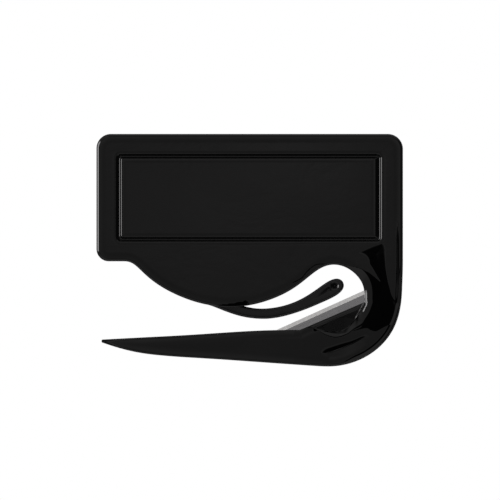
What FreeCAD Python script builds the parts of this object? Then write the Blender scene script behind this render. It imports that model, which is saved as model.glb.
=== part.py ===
import FreeCAD, Part
import math
import os

# Hand-held letter slitter: two flat plastic half shells with a steel blade trapped
# between them and a springy guide finger in the throat.
# Frame: millimetres, the slitter lies on its back. +Z is out of the front face,
# +X towards the hook arm, +Y towards the top edge of the grip.
# Origin: middle of the outline's bounding rectangle, on the back face.

# ---------------------------------------------------------------- driving sizes
BODY_W = 82.5            # overall width (X)
BODY_H = 62.60           # overall height (Y)
BODY_T = 3.2             # overall thickness (Z)
PART_Z = 1.6             # height of the joint face between the two halves

HALF_W = BODY_W / 2
TOP_Y = 31.30            # top edge of the grip
CORNER_TR = 4.07         # corner radii of the grip
CORNER_TL = 3.88
CORNER_BL = 3.31
GRIP_LOW_Y = -2.993      # short flat below the bottom left corner

EDGE_R = 0.45            # rounding of the outer face edges

GROOVE_X0, GROOVE_X1 = -36.05, 35.65   # outside of the groove round the imprint panel
GROOVE_Y0, GROOVE_Y1 = 2.32, 25.96
GROOVE_W = 1.28          # above and below the panel
GROOVE_LEFT_W = 1.67
GROOVE_RIGHT_W = 1.85
GROOVE_D = 0.55
GROOVE_R = 1.30

FANG_DROP_ROOT = 0.70    # each face steps down by this much from hook arm to fang
FANG_DROP_TIP = 1.14     # and by this much at the fang's point
RAMP_START = (28.6, -18.4)
RAMP_DIR_DEG = 230.0     # direction in plan in which the ramp falls
RAMP_LEN = 12.0
RAMP_TIP_S = 48.5        # distance from the ramp's start to the fang's point

POCKET_FLOOR = 0.90      # depth of the blade lip below each outer face
POCKET_ARC = [(31.0, -12.6), (30.93, -14.35), (30.05, -16.1), (29.04, -17.72),
              (28.40, -18.85), (27.29, -20.15), (25.94, -21.22), (24.33, -21.95),
              (22.98, -22.15), (21.63, -22.1), (20.29, -21.9), (18.94, -21.55),
              (17.5, -21.12)]

BLADE_ANGLE = 24.3       # rise of the cutting edge towards +X, degrees
BLADE_EDGE_PT = (19.72, -15.83)   # a point of the cutting edge
BLADE_LEN = 34.0
BLADE_W = 7.0
BLADE_T = 0.25
BLADE_BEVEL = 1.0        # width of the ground bevel
BLADE_U0 = -19.6         # ends of the blade, along the edge from BLADE_EDGE_PT
BLADE_HOLE_R = 1.0
BLADE_HOLES_U = (-8.0, 7.0)
BLADE_HOLE_V = -4.9
BLADE_Z0 = 1.33
BLADE_POST_R = 0.95
BLADE_GAP = 0.10         # side clearance of the blade in its recess

PIN_R = 1.2              # moulded pins that join the halves
PIN_LEN = 0.9
SOCKET_R = 1.22
SOCKET_DEPTH = 1.0
PINS = [(-38.6, 8.0), (38.6, 12.0), (-22.0, -3.4), (0.0, -6.5), (37.6, -17.5)]

PIVOT = (-5.04, -15.45)  # centre about which the finger's root bends
BOSS_R = 1.45
BOSS_GAP = 0.05
FINGER_Z0, FINGER_Z1 = 0.30, 1.54
FINGER_EDGE_R = 0.35
DIMPLE = (22.84, -9.56)
DIMPLE_R, DIMPLE_RIM_R, DIMPLE_D = 0.78, 1.12, 0.60

# Poles of clamped cubic B-splines with even knots, in plan.
HOOK_OUTER = [(41.250, -3.174), (41.250, -4.960), (41.088, -8.813), (40.936, -14.182),
              (39.654, -19.792), (36.799, -24.526), (32.538, -28.225), (27.394, -30.593),
              (22.013, -31.515), (18.168, -31.194), (16.380, -31.083)]
FANG_LOWER = [(13.147, -30.868), (4.476, -30.278), (-4.992, -29.573), (-14.904, -28.963),
              (-24.485, -28.409), (-32.830, -27.300), (-39.386, -24.968)]
FANG_TIP = (-39.90, -24.47)
FANG_UPPER = [(-39.656, -24.052), (-31.443, -23.584), (-22.349, -23.169), (-12.710, -22.587),
              (-3.155, -21.893), (5.698, -21.439), (13.551, -21.439)]
SLOT_LINE_END = (30.873, -13.98)
EYE_BELLY = [(30.873, -12.333), (30.873, -9.895), (29.637, -7.506), (27.435, -5.372),
             (24.611, -3.963), (21.555, -3.752), (18.574, -4.991), (15.701, -7.302),
             (12.676, -9.772), (9.349, -11.764), (5.855, -13.251), (2.345, -14.368),
             (-1.181, -15.059), (-4.751, -15.296), (-8.338, -15.162), (-11.884, -14.656),
             (-15.375, -13.733), (-18.851, -12.426), (-22.282, -10.785), (-25.485, -8.810),
             (-28.200, -6.545), (-30.338, -4.356), (-32.143, -2.993), (-33.864, -2.993)]
FINGER = [(-11.800, -14.569), (-10.622, -14.826), (-8.326, -15.757), (-5.172, -17.009),
          (-1.636, -18.038), (1.988, -18.517), (5.598, -18.414), (8.959, -17.812),
          (12.121, -16.916), (15.604, -15.683), (19.805, -13.864), (24.009, -11.959),
          (25.811, -9.618), (24.414, -7.359), (21.514, -7.965), (17.921, -10.739),
          (14.185, -13.135), (10.812, -14.569), (7.549, -15.438), (4.020, -15.866),
          (0.361, -15.572), (-2.858, -14.687), (-5.172, -13.845), (-6.385, -13.411)]


def V(x, y, z=0.0):
    return FreeCAD.Vector(x, y, z)


def spline(poles):
    n = len(poles)
    inner = n - 4
    mults = [4] + [1] * inner + [4]
    knots = [i / (inner + 1.0) for i in range(inner + 2)]
    c = Part.BSplineCurve()
    c.buildFromPolesMultsKnots([V(*p) for p in poles], mults, knots, False, 3)
    return c.toShape()


def line(a, b):
    return Part.LineSegment(V(*a), V(*b)).toShape()


def corner(cx, cy, r, a0, a1):
    am = (a0 + a1) / 2
    p = [V(cx + r * math.cos(math.radians(a)), cy + r * math.sin(math.radians(a)))
         for a in (a0, am, a1)]
    return Part.Arc(*p).toShape()


def prism(wire_or_face, z0, z1):
    face = wire_or_face if wire_or_face.ShapeType == "Face" else Part.Face(wire_or_face)
    face = face.translated(V(0, 0, z0))
    return face.extrude(V(0, 0, z1 - z0))


def polygon(points):
    return Part.Wire(Part.makePolygon([V(*p) for p in points] + [V(*points[0])]))


def rounded_rect(x0, x1, y0, y1, r):
    e = [line((x0 + r, y1), (x1 - r, y1)), corner(x1 - r, y1 - r, r, 90, 0),
         line((x1, y1 - r), (x1, y0 + r)), corner(x1 - r, y0 + r, r, 0, -90),
         line((x1 - r, y0), (x0 + r, y0)), corner(x0 + r, y0 + r, r, 270, 180),
         line((x0, y0 + r), (x0, y1 - r)), corner(x0 + r, y1 - r, r, 180, 90)]
    return Part.Wire(Part.__sortEdges__(e))


# ---------------------------------------------------------------- outline shared by both halves
def body_outline():
    xl, xr = -HALF_W, HALF_W
    edges = [
        line((xl + CORNER_TL, TOP_Y), (xr - CORNER_TR, TOP_Y)),
        corner(xr - CORNER_TR, TOP_Y - CORNER_TR, CORNER_TR, 90, 0),
        line((xr, TOP_Y - CORNER_TR), HOOK_OUTER[0]),
        spline(HOOK_OUTER),
        line(HOOK_OUTER[-1], FANG_LOWER[0]),
        spline(FANG_LOWER),
        Part.Arc(V(*FANG_LOWER[-1]), V(*FANG_TIP), V(*FANG_UPPER[0])).toShape(),
        spline(FANG_UPPER),
        line(FANG_UPPER[-1], SLOT_LINE_END),
        line(SLOT_LINE_END, EYE_BELLY[0]),
        spline(EYE_BELLY),
        line(EYE_BELLY[-1], (xl + CORNER_BL, GRIP_LOW_Y)),
        corner(xl + CORNER_BL, GRIP_LOW_Y + CORNER_BL, CORNER_BL, 270, 180),
        line((xl, GRIP_LOW_Y + CORNER_BL), (xl, TOP_Y - CORNER_TL)),
        corner(xl + CORNER_TL, TOP_Y - CORNER_TL, CORNER_TL, 180, 90),
    ]
    return Part.Wire(Part.__sortEdges__(edges))


# ---------------------------------------------------------------- cutters, drawn for the front face
def fang_cutter():
    """Space above the falling ramp from hook arm to fang, and above the fang's taper."""
    a = math.radians(RAMP_DIR_DEG)
    u = V(math.cos(a), math.sin(a))
    v = V(-math.sin(a), math.cos(a))
    o = V(RAMP_START[0], RAMP_START[1])
    prof = [(0, BODY_T), (RAMP_LEN, BODY_T - FANG_DROP_ROOT),
            (RAMP_TIP_S, BODY_T - FANG_DROP_TIP), (RAMP_TIP_S + 4, BODY_T - FANG_DROP_TIP),
            (RAMP_TIP_S + 4, BODY_T + 2), (0, BODY_T + 2)]
    pts = [o + u * s - v * 90 + V(0, 0, z) for s, z in prof]
    wedge = Part.Face(Part.makePolygon(pts + [pts[0]])).extrude(v * 180)
    mask = prism(polygon([(-48, -36), (-48, -19.6), (14.5, -19.6), (28.6, -17.0),
                          (46, -17.0), (46, -36)]), 0, BODY_T + 3)
    return wedge.common(mask)


def pocket_cutter():
    """Shallow pocket between the blade lip and the round wall of the eye."""
    arc = Part.BSplineCurve()
    arc.interpolate([V(*p) for p in POCKET_ARC])
    a, b = POCKET_ARC[0], POCKET_ARC[-1]
    edges = [arc.toShape(), line(b, (12.0, -21.0)), line((12.0, -21.0), (12.0, -16.0)),
             line((12.0, -16.0), (26.0, -9.0)), line((26.0, -9.0), a)]
    return prism(Part.Wire(Part.__sortEdges__(edges)), BODY_T - POCKET_FLOOR, BODY_T + 2)


def flipped(shape):
    """The same shape seen from the back: mirrored about the joint face."""
    return shape.mirror(V(0, 0, BODY_T / 2), V(0, 0, 1))


def outline_edges(shape, z):
    """Two edges of a face of the plain outline prism: the top edge of the grip, whose tangent
    neighbours follow it all round to both ends of the fang, and the fang's upper edge."""
    found = []
    for want in ((0.0, TOP_Y), (-12.72, -22.57)):
        def away(e):
            m = e.valueAt((e.FirstParameter + e.LastParameter) / 2)
            return math.hypot(m.x - want[0], m.y - want[1]) + 100 * abs(m.z - z)
        found.append(min(shape.Edges, key=away))
    return found


def round_edges(shape, edges, r):
    """Fillet, or leave the edges sharp where the kernel can't make a sound solid."""
    try:
        f = shape.makeFillet(r, edges)
        if f.isValid() and f.Volume > 0 and len(f.Solids) == 1:
            return f.Solids[0]
    except Part.OCCError:
        pass
    print("edges left sharp")
    return shape


# ---------------------------------------------------------------- blade
def blade_frame():
    a = math.radians(BLADE_ANGLE)
    u = V(math.cos(a), math.sin(a))
    v = V(-math.sin(a), math.cos(a))
    return V(*BLADE_EDGE_PT), u, v


def blade_outline(grow):
    o, u, v = blade_frame()
    c = 0.8
    u0, u1 = BLADE_U0 - grow, BLADE_U0 + BLADE_LEN + grow
    v0, v1 = -BLADE_W - grow, grow
    pts = [(u0, v1), (u1, v1), (u1, v0 + c), (u1 - c, v0), (u0 + c, v0), (u0, v0 + c)]
    return polygon([tuple((o + u * p + v * q))[:2] for p, q in pts])


def make_blade():
    o, u, v = blade_frame()
    body = prism(blade_outline(0.0), BLADE_Z0, BLADE_Z0 + BLADE_T)
    for hu in BLADE_HOLES_U:
        c = o + u * hu + v * BLADE_HOLE_V
        body = body.cut(Part.makeCylinder(BLADE_HOLE_R, 2, V(c.x, c.y, BLADE_Z0 - 1)))
    # one ground bevel, on the front side, down to a fine land at the edge
    land = 0.03
    top = BLADE_Z0 + BLADE_T
    prof = [(-BLADE_BEVEL, top), (0.5, BLADE_Z0 + land - (BLADE_T - land) * 0.5 / BLADE_BEVEL),
            (0.5, top + 1), (-BLADE_BEVEL, top + 1)]
    pts = [o + u * (BLADE_U0 - 2) + v * q + V(0, 0, z) for q, z in prof]
    wedge = Part.Face(Part.makePolygon(pts + [pts[0]])).extrude(u * (BLADE_LEN + 4))
    return body.cut(wedge)


# ---------------------------------------------------------------- guide finger
def finger_face():
    e = spline(FINGER)
    return Part.Face(Part.Wire([e, line(FINGER[-1], FINGER[0])]))


def make_finger():
    """Rounded arm with a blind dimple in its tip, and a plain round boss at its root."""
    keep = prism(polygon([(PIVOT[0] + 0.6, -25), (40, -25), (40, -3), (PIVOT[0] + 0.6, -3)]), -1, 5)
    arm = prism(finger_face(), FINGER_Z0, FINGER_Z1).common(keep)
    rim = [e for e in arm.Edges
           if e.BoundBox.ZMax - e.BoundBox.ZMin < 1e-6 and e.BoundBox.XMax > 6.0]
    arm = round_edges(arm, rim, FINGER_EDGE_R)
    boss = Part.makeCylinder(BOSS_R, FINGER_Z1 - FINGER_Z0, V(PIVOT[0], PIVOT[1], FINGER_Z0))
    s = arm.fuse(boss)
    hole = Part.makeCylinder(DIMPLE_R, 2, V(DIMPLE[0], DIMPLE[1], FINGER_Z1 - DIMPLE_D))
    rim = Part.makeCone(DIMPLE_R, DIMPLE_RIM_R + 0.2, DIMPLE_RIM_R - DIMPLE_R + 0.2,
                        V(DIMPLE[0], DIMPLE[1], FINGER_Z1 - (DIMPLE_RIM_R - DIMPLE_R)))
    return s.cut(hole).cut(rim)


def root_clearance():
    """Room for the boss and for the finger's swing, taken out of the rear half."""
    z0, z1 = -1.0, PART_Z + 0.5
    hole = Part.makeCylinder(BOSS_R + BOSS_GAP, z1 - z0, V(PIVOT[0], PIVOT[1], z0))
    swing = prism(polygon([(-4.9, -14.05), (-4.4, -13.55), (-3.4, -13.55), (-1.0, -14.20),
                           (0.62, -14.60), (3.30, -14.35), (3.30, -17.5), (0.0, -20.0),
                           (-4.55, -20.0), (-4.85, -16.9)]), z0, z1)
    return hole.fuse(swing)


# ---------------------------------------------------------------- half shells
def make_front():
    s = prism(body_outline(), PART_Z, BODY_T)
    s = round_edges(s, outline_edges(s, BODY_T), EDGE_R)
    s = s.cut(fang_cutter())
    s = s.cut(pocket_cutter())
    ring = prism(rounded_rect(GROOVE_X0, GROOVE_X1, GROOVE_Y0, GROOVE_Y1, GROOVE_R),
                 BODY_T - GROOVE_D, BODY_T + 1)
    panel = prism(polygon([(GROOVE_X0 + GROOVE_LEFT_W, GROOVE_Y0 + GROOVE_W),
                           (GROOVE_X1 - GROOVE_RIGHT_W, GROOVE_Y0 + GROOVE_W),
                           (GROOVE_X1 - GROOVE_RIGHT_W, GROOVE_Y1 - GROOVE_W),
                           (GROOVE_X0 + GROOVE_LEFT_W, GROOVE_Y1 - GROOVE_W)]),
                  BODY_T - GROOVE_D - 1, BODY_T + 2)
    s = s.cut(ring.cut(panel))
    for x, y in PINS:
        s = s.fuse(Part.makeCylinder(PIN_R, PIN_LEN + 0.2, V(x, y, PART_Z - PIN_LEN)))
    return s


def make_rear():
    s = prism(body_outline(), 0, PART_Z)
    s = round_edges(s, outline_edges(s, 0.0), EDGE_R)
    s = s.cut(flipped(fang_cutter()))
    s = s.cut(flipped(pocket_cutter()))
    # the finger's root grows out of the belly edge
    root = prism(finger_face(), FINGER_Z0, FINGER_Z1).common(
        prism(polygon([(-12.5, -20), (PIVOT[0] + 0.1, -20), (PIVOT[0] + 0.1, -10), (-12.5, -10)]), 0, PART_Z))
    s = s.fuse(root)
    s = s.cut(root_clearance())
    for x, y in PINS:
        s = s.cut(Part.makeCylinder(SOCKET_R, SOCKET_DEPTH + 1, V(x, y, PART_Z - SOCKET_DEPTH)))
    s = s.cut(prism(blade_outline(BLADE_GAP), BLADE_Z0, PART_Z + 1))
    o, u, v = blade_frame()
    for hu in BLADE_HOLES_U:
        c = o + u * hu + v * BLADE_HOLE_V
        s = s.fuse(Part.makeCylinder(BLADE_POST_R, PART_Z - BLADE_Z0 - 0.01 + 0.2,
                                     V(c.x, c.y, BLADE_Z0 - 0.2)))
    return s


def main():
    os.makedirs("parts", exist_ok=True)
    made = {
        "front_shell": make_front(),
        "rear_shell": make_rear(),
        "blade": make_blade(),
        "guide_finger": make_finger(),
    }
    for name, s in made.items():
        solids = s.Solids
        if len(solids) != 1:
            print(name, "has", len(solids), "solids:", [round(x.Volume, 2) for x in solids])
        s = max(solids, key=lambda x: x.Volume)
        b = s.optimalBoundingBox(True, False)
        print("%-13s valid %s  volume %8.2f  x %.2f..%.2f y %.2f..%.2f z %.2f..%.2f" % (
            name, s.isValid(), s.Volume, b.XMin, b.XMax, b.YMin, b.YMax, b.ZMin, b.ZMax))
        s.exportStep("parts/%s.step" % name)


main()
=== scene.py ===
import math
import random
import bpy
import numpy as np
from mathutils import Matrix, Vector
from mathutils.geometry import delaunay_2d_cdt
from mathutils.kdtree import KDTree


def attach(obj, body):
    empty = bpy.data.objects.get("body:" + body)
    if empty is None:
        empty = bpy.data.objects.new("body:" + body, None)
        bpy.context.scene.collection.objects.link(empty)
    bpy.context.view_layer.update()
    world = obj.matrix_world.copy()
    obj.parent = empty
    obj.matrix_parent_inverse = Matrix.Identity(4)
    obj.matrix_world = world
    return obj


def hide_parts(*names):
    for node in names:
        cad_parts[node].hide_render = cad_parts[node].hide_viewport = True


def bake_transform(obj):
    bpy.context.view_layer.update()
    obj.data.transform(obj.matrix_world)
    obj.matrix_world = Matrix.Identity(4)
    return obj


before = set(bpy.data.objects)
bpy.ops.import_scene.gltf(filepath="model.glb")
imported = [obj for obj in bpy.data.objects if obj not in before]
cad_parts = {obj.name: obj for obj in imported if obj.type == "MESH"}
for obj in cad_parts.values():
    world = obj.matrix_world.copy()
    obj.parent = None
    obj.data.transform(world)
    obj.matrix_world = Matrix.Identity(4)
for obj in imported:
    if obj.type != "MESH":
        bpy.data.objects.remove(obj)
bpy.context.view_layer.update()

random.seed(7)
rng = np.random.default_rng(7)
MM = 0.001

# ======================================================================================
# Shape of the object, in millimetres: front face up (+Z), origin under the middle
# ======================================================================================
# >>> shape functions
THICK = 3.2
HALF_W = 41.25
TOP_Y = 31.30
R_TR, R_TL, R_BL = 4.07, 3.88, 3.31
GRIP_LOW_Y = -2.993

HOOK_OUTER = [(41.250, -3.174), (41.250, -4.960), (41.088, -8.813), (40.936, -14.182),
              (39.654, -19.792), (36.799, -24.526), (32.538, -28.225), (27.394, -30.593),
              (22.013, -31.515), (18.168, -31.194), (16.380, -31.083)]
FANG_LOWER = [(13.147, -30.868), (4.476, -30.278), (-4.992, -29.573), (-14.904, -28.963),
              (-24.485, -28.409), (-32.830, -27.300), (-39.386, -24.968)]
FANG_TIP = (-39.90, -24.47)
FANG_UPPER = [(-39.656, -24.052), (-31.443, -23.584), (-22.349, -23.169), (-12.710, -22.587),
              (-3.155, -21.893), (5.698, -21.439), (13.551, -21.439)]
SLOT_LINE_END = (30.873, -13.98)
EYE_BELLY = [(30.873, -12.333), (30.873, -9.895), (29.637, -7.506), (27.435, -5.372),
             (24.611, -3.963), (21.555, -3.752), (18.574, -4.991), (15.701, -7.302),
             (12.676, -9.772), (9.349, -11.764), (5.855, -13.251), (2.345, -14.368),
             (-1.181, -15.059), (-4.751, -15.296), (-8.338, -15.162), (-11.884, -14.656),
             (-15.375, -13.733), (-18.851, -12.426), (-22.282, -10.785), (-25.485, -8.810),
             (-28.200, -6.545), (-30.338, -4.356), (-32.143, -2.993), (-33.864, -2.993)]
FINGER = [(-11.800, -14.569), (-10.622, -14.826), (-8.326, -15.757), (-5.172, -17.009),
          (-1.636, -18.038), (1.988, -18.517), (5.598, -18.414), (8.959, -17.812),
          (12.121, -16.916), (15.604, -15.683), (19.805, -13.864), (24.009, -11.959),
          (25.811, -9.618), (24.414, -7.359), (21.514, -7.965), (17.921, -10.739),
          (14.185, -13.135), (10.812, -14.569), (7.549, -15.438), (4.020, -15.866),
          (0.361, -15.572), (-2.858, -14.687), (-5.172, -13.845), (-6.385, -13.411)]


def bspline(poles, n):
    """Clamped cubic B-spline with even knots, n points along it."""
    P = np.asarray(poles, float)
    m = len(P)
    kn = np.concatenate([[0.0] * 3, np.linspace(0, 1, m - 2), [1.0] * 3])
    u = np.linspace(0, 1, n)
    u[-1] = 1 - 1e-9
    idx = np.clip(np.searchsorted(kn, u, side="right") - 1, 3, m - 1)
    d = [P[idx - 3 + j].copy() for j in range(4)]
    for r in range(1, 4):
        for j in range(3, r - 1, -1):
            lo = kn[j + idx - 3]
            hi = kn[j + 1 + idx - r]
            a = ((u - lo) / (hi - lo))[:, None]
            d[j] = (1 - a) * d[j - 1] + a * d[j]
    return d[3]


def arc(cx, cy, r, a0, a1, n):
    a = np.radians(np.linspace(a0, a1, n))
    return np.c_[cx + r * np.cos(a), cy + r * np.sin(a)]


def seg(a, b, n):
    t = np.linspace(0, 1, n)[:, None]
    return np.array(a) * (1 - t) + np.array(b) * t


def arc3(a, b, c, n):
    """Arc from a to c through b, turning clockwise."""
    A, B, C = (np.array(p, float) for p in (a, b, c))
    d = 2 * (A[0] * (B[1] - C[1]) + B[0] * (C[1] - A[1]) + C[0] * (A[1] - B[1]))
    ux = ((A @ A) * (B[1] - C[1]) + (B @ B) * (C[1] - A[1]) + (C @ C) * (A[1] - B[1])) / d
    uy = ((A @ A) * (C[0] - B[0]) + (B @ B) * (A[0] - C[0]) + (C @ C) * (B[0] - A[0])) / d
    r = math.hypot(A[0] - ux, A[1] - uy)
    t0, t1, t2 = (math.atan2(p[1] - uy, p[0] - ux) for p in (A, B, C))
    while t1 > t0:
        t1 -= 2 * math.pi
    while t2 > t1:
        t2 -= 2 * math.pi
    t = np.linspace(t0, t2, n)
    return np.c_[ux + r * np.cos(t), uy + r * np.sin(t)]


def curve(pts, n=120):
    """Smooth curve through the points."""
    P = np.asarray(pts, float)
    P = np.vstack([2 * P[0] - P[1], P, 2 * P[-1] - P[-2]])
    m = len(P) - 3
    per = max(2, n // m)
    out = []
    for i in range(m):
        p0, p1, p2, p3 = P[i:i + 4]
        t = np.linspace(0, 1, per, endpoint=False)[:, None]
        out.append(0.5 * ((2 * p1) + (-p0 + p2) * t + (2 * p0 - 5 * p1 + 4 * p2 - p3) * t * t
                          + (-p0 + 3 * p1 - 3 * p2 + p3) * t ** 3))
    out.append(P[-2][None])
    return np.vstack(out)


def resample(Q, step):
    d = np.linalg.norm(np.diff(Q, axis=0), axis=1)
    s = np.concatenate([[0], np.cumsum(d)])
    n = max(2, int(round(s[-1] / step)) + 1)
    t = np.linspace(0, s[-1], n)
    return np.c_[np.interp(t, s, Q[:, 0]), np.interp(t, s, Q[:, 1])]


def outline(step):
    """The outline of the body, clockwise, and the name of the stretch each point lies on."""
    xl, xr = -HALF_W, HALF_W
    runs = [("top", seg((xl + R_TL, TOP_Y), (xr - R_TR, TOP_Y), 9)),
            ("tr", arc(xr - R_TR, TOP_Y - R_TR, R_TR, 90, 0, 60)),
            ("right", seg((xr, TOP_Y - R_TR), HOOK_OUTER[0], 9)),
            ("hook", bspline(HOOK_OUTER, 500)),
            ("fang_lower", seg(HOOK_OUTER[-1], FANG_LOWER[0], 5)),
            ("fang_lower", bspline(FANG_LOWER, 500)),
            ("tip", arc3(FANG_LOWER[-1], FANG_TIP, FANG_UPPER[0], 15)),
            ("fang_upper", bspline(FANG_UPPER, 500)),
            ("slot", seg(FANG_UPPER[-1], SLOT_LINE_END, 9)),
            ("eye", seg(SLOT_LINE_END, EYE_BELLY[0], 5)),
            ("eye", bspline(EYE_BELLY, 900)),
            ("belly", seg(EYE_BELLY[-1], (xl + R_BL, GRIP_LOW_Y), 5)),
            ("bl", arc(xl + R_BL, GRIP_LOW_Y + R_BL, R_BL, 270, 180, 50)),
            ("left", seg((xl, GRIP_LOW_Y + R_BL), (xl, TOP_Y - R_TL), 9)),
            ("tl", arc(xl + R_TL, TOP_Y - R_TL, R_TL, 180, 90, 60))]
    pts, names = [], []
    for name, run in runs:
        st = step * 0.35 if name in ("tip",) else step
        q = resample(run, st)[:-1]
        pts.append(q)
        names += [name] * len(q)
    return np.vstack(pts), np.array(names)


OUT, OUT_NAME = outline(0.18)


def chain(*names):
    return OUT[np.concatenate([np.where(OUT_NAME == n)[0] for n in names])]


def sstep(x, a, b):
    t = np.clip((x - a) / (b - a), 0, 1)
    return t * t * (3 - 2 * t)


def softplus(x, k):
    return np.where(x > k, x, np.where(x < -k, 0.0, (x + k) ** 2 / (4 * k)))


def inside(P, Q):
    x, y = P[:, 0], P[:, 1]
    c = np.zeros(len(P), bool)
    n = len(Q)
    for i in range(n):
        x1, y1 = Q[i]
        x2, y2 = Q[(i + 1) % n]
        if y1 != y2:
            k = ((y1 > y) != (y2 > y))
            c ^= k & (x < (x2 - x1) * (y - y1) / (y2 - y1) + x1)
    return c


# the outline in three stretches, and the lines that shape the front of the hook
CH_A = np.vstack([chain("hook", "fang_lower"), [FANG_TIP]])
CH_B = np.vstack([[FANG_TIP], chain("fang_upper", "slot", "eye"), chain("belly")])
CH_R = np.vstack([chain("bl", "left", "tl"), chain("top", "tr", "right")])
CH_EYE = chain("eye")
CH_SLOT = np.vstack([chain("slot"), [SLOT_LINE_END]])

# where the grip's flat face ends: lower side of its tongue, the tongue's other side, then
# round the top of the scoop and down the flat band on the right
C0A = curve([(29.0, -5.6), (30.3, -5.25), (31.98, -5.75), (33.70, -7.10), (35.10, -8.35)], 50)
C0B = curve([(35.10, -8.35), (34.2, -7.0), (33.05, -5.1), (32.25, -3.9), (31.85, -2.45),
             (30.9, -1.4), (28.8, -0.7)], 70)
C0C = curve([(28.8, -0.7), (32.0, 0.85), (33.9, 1.6), (35.8, 2.2), (36.65, 0.9),
             (36.72, -1.5), (36.80, -4.70), (37.15, -7.55), (37.60, -9.85), (38.3, -12.2),
             (39.6, -13.9), (42.5, -15.2)], 130)
Z0 = np.vstack([C0A, C0B, C0C, [(60, -15.2), (60, 60), (-60, 60), (-60, -2.0), (10.0, -2.0),
                                (14.0, -10.0), (22.0, -10.0), (29.0, -5.6)]])
# where the fang's lower level starts
C1 = curve([(12.4, -18.5), (14.5, -20.6), (16.5, -20.9), (18.94, -21.6), (21.6, -22.3),
            (24.3, -22.5), (26.3, -22.1), (28.82, -21.5), (31.41, -20.95), (32.55, -21.5), (34.0, -21.8),
            (35.43, -21.1), (37.3, -20.2), (39.2, -20.2), (42, -21.2)], 120)
Z1 = np.vstack([C1, [(60, -21.2), (60, -60), (-60, -60), (-60, -18.5)]])
POCKET_ARC = curve([(30.875, -13.0), (30.85, -13.9), (30.62, -14.7), (29.95, -16.1),
                    (28.97, -17.72), (28.33, -18.85), (27.25, -20.15), (25.92, -21.22),
                    (24.33, -21.95), (22.98, -22.15), (21.63, -22.1), (20.29, -21.9),
                    (18.94, -21.55), (17.5, -21.12), (16.2, -20.75), (15.0, -20.6)], 120)
POCKET = np.vstack([POCKET_ARC, [(13.0, -19.0), (29.0, -10.0), (30.873, -11.0)]])
POCKET_RIDGE = curve([(19.5, -21.4), (21.1, -19.7), (23.25, -18.6), (25.9, -18.07),
                      (27.7, -18.45), (28.6, -18.95)], 60)
STREAK = curve([(17.0, -27.6), (20.3, -27.45), (21.6, -27.35), (23.0, -26.9), (25.4, -25.95),
                (27.7, -25.0), (30.0, -23.8), (32.0, -22.8)], 60)
LEDGE = curve([(11.6, -8.6), (13.9, -7.3), (15.6, -5.3), (17.3, -4.0), (18.5, -3.6),
               (20.2, -3.6)], 60)

DROP = 0.80            # from the grip's face down to the fang's face at its root
FANG_TAPER = 0.42      # further drop to the tip
CROWN, CROWN_W = 0.026, 2.6
RIM_W, RIM_TILT, RIM_F = 1.25, 13.5, 0.42
EYE_W, EYE_TILT, EYE_F = 2.20, 12.0, 0.30
EDGE_R = 0.60
POCKET_Z = 0.90
# groove round the panel: outer rectangle, width, depth
GX0, GX1, GY0, GY1 = -36.05, 35.65, 2.26, 26.03
GW_TB, GW_L, GW_R, G_DEPTH, G_R, G_RI = 1.41, 1.67, 1.85, 0.55, 1.30, 0.30
G_STEEP, G_LONG = 0.50, 0.80       # widths of its steep walls and of those facing left


def rect_sd(P, x0, x1, y0, y1, r=0.0):
    """Distance inside a rounded rectangle, negative outside it."""
    cx, cy = (x0 + x1) / 2, (y0 + y1) / 2
    qx = np.abs(P[:, 0] - cx) - ((x1 - x0) / 2 - r)
    qy = np.abs(P[:, 1] - cy) - ((y1 - y0) / 2 - r)
    o = np.hypot(np.maximum(qx, 0), np.maximum(qy, 0))
    return r - o - np.minimum(np.maximum(qx, qy), 0)


CURVES = dict(A=CH_A, B=CH_B, R=CH_R, eye=CH_EYE, slot=CH_SLOT, z0=np.vstack([Z0, Z0[:1]]),
              z1=np.vstack([Z1, Z1[:1]]), pocket=POCKET_ARC, ridge=POCKET_RIDGE,
              streak=STREAK, ledge=LEDGE)


def rect_dir(P, x0, x1, y0, y1, r):
    """X part of the direction away from a rounded rectangle's middle, across its border."""
    cx, cy = (x0 + x1) / 2, (y0 + y1) / 2
    qx = np.abs(P[:, 0] - cx) - ((x1 - x0) / 2 - r)
    qy = np.abs(P[:, 1] - cy) - ((y1 - y0) / 2 - r)
    both = (qx > 0) & (qy > 0)
    c = np.where(both, qx / np.maximum(np.hypot(qx, qy), 1e-9), np.where(qx > qy, 1.0, 0.0))
    return c * np.sign(P[:, 0] - cx)


def bank(t, f):
    """A straight slope from 0 to 1, rounded over a part f of its width at either end."""
    t = np.clip(t, 0, 1)
    m = 1 / (1 - f)
    return np.where(t < f, m * t * t / (2 * f),
                    np.where(t > 1 - f, 1 - m * (1 - t) ** 2 / (2 * f), m * (t - f / 2)))


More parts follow.
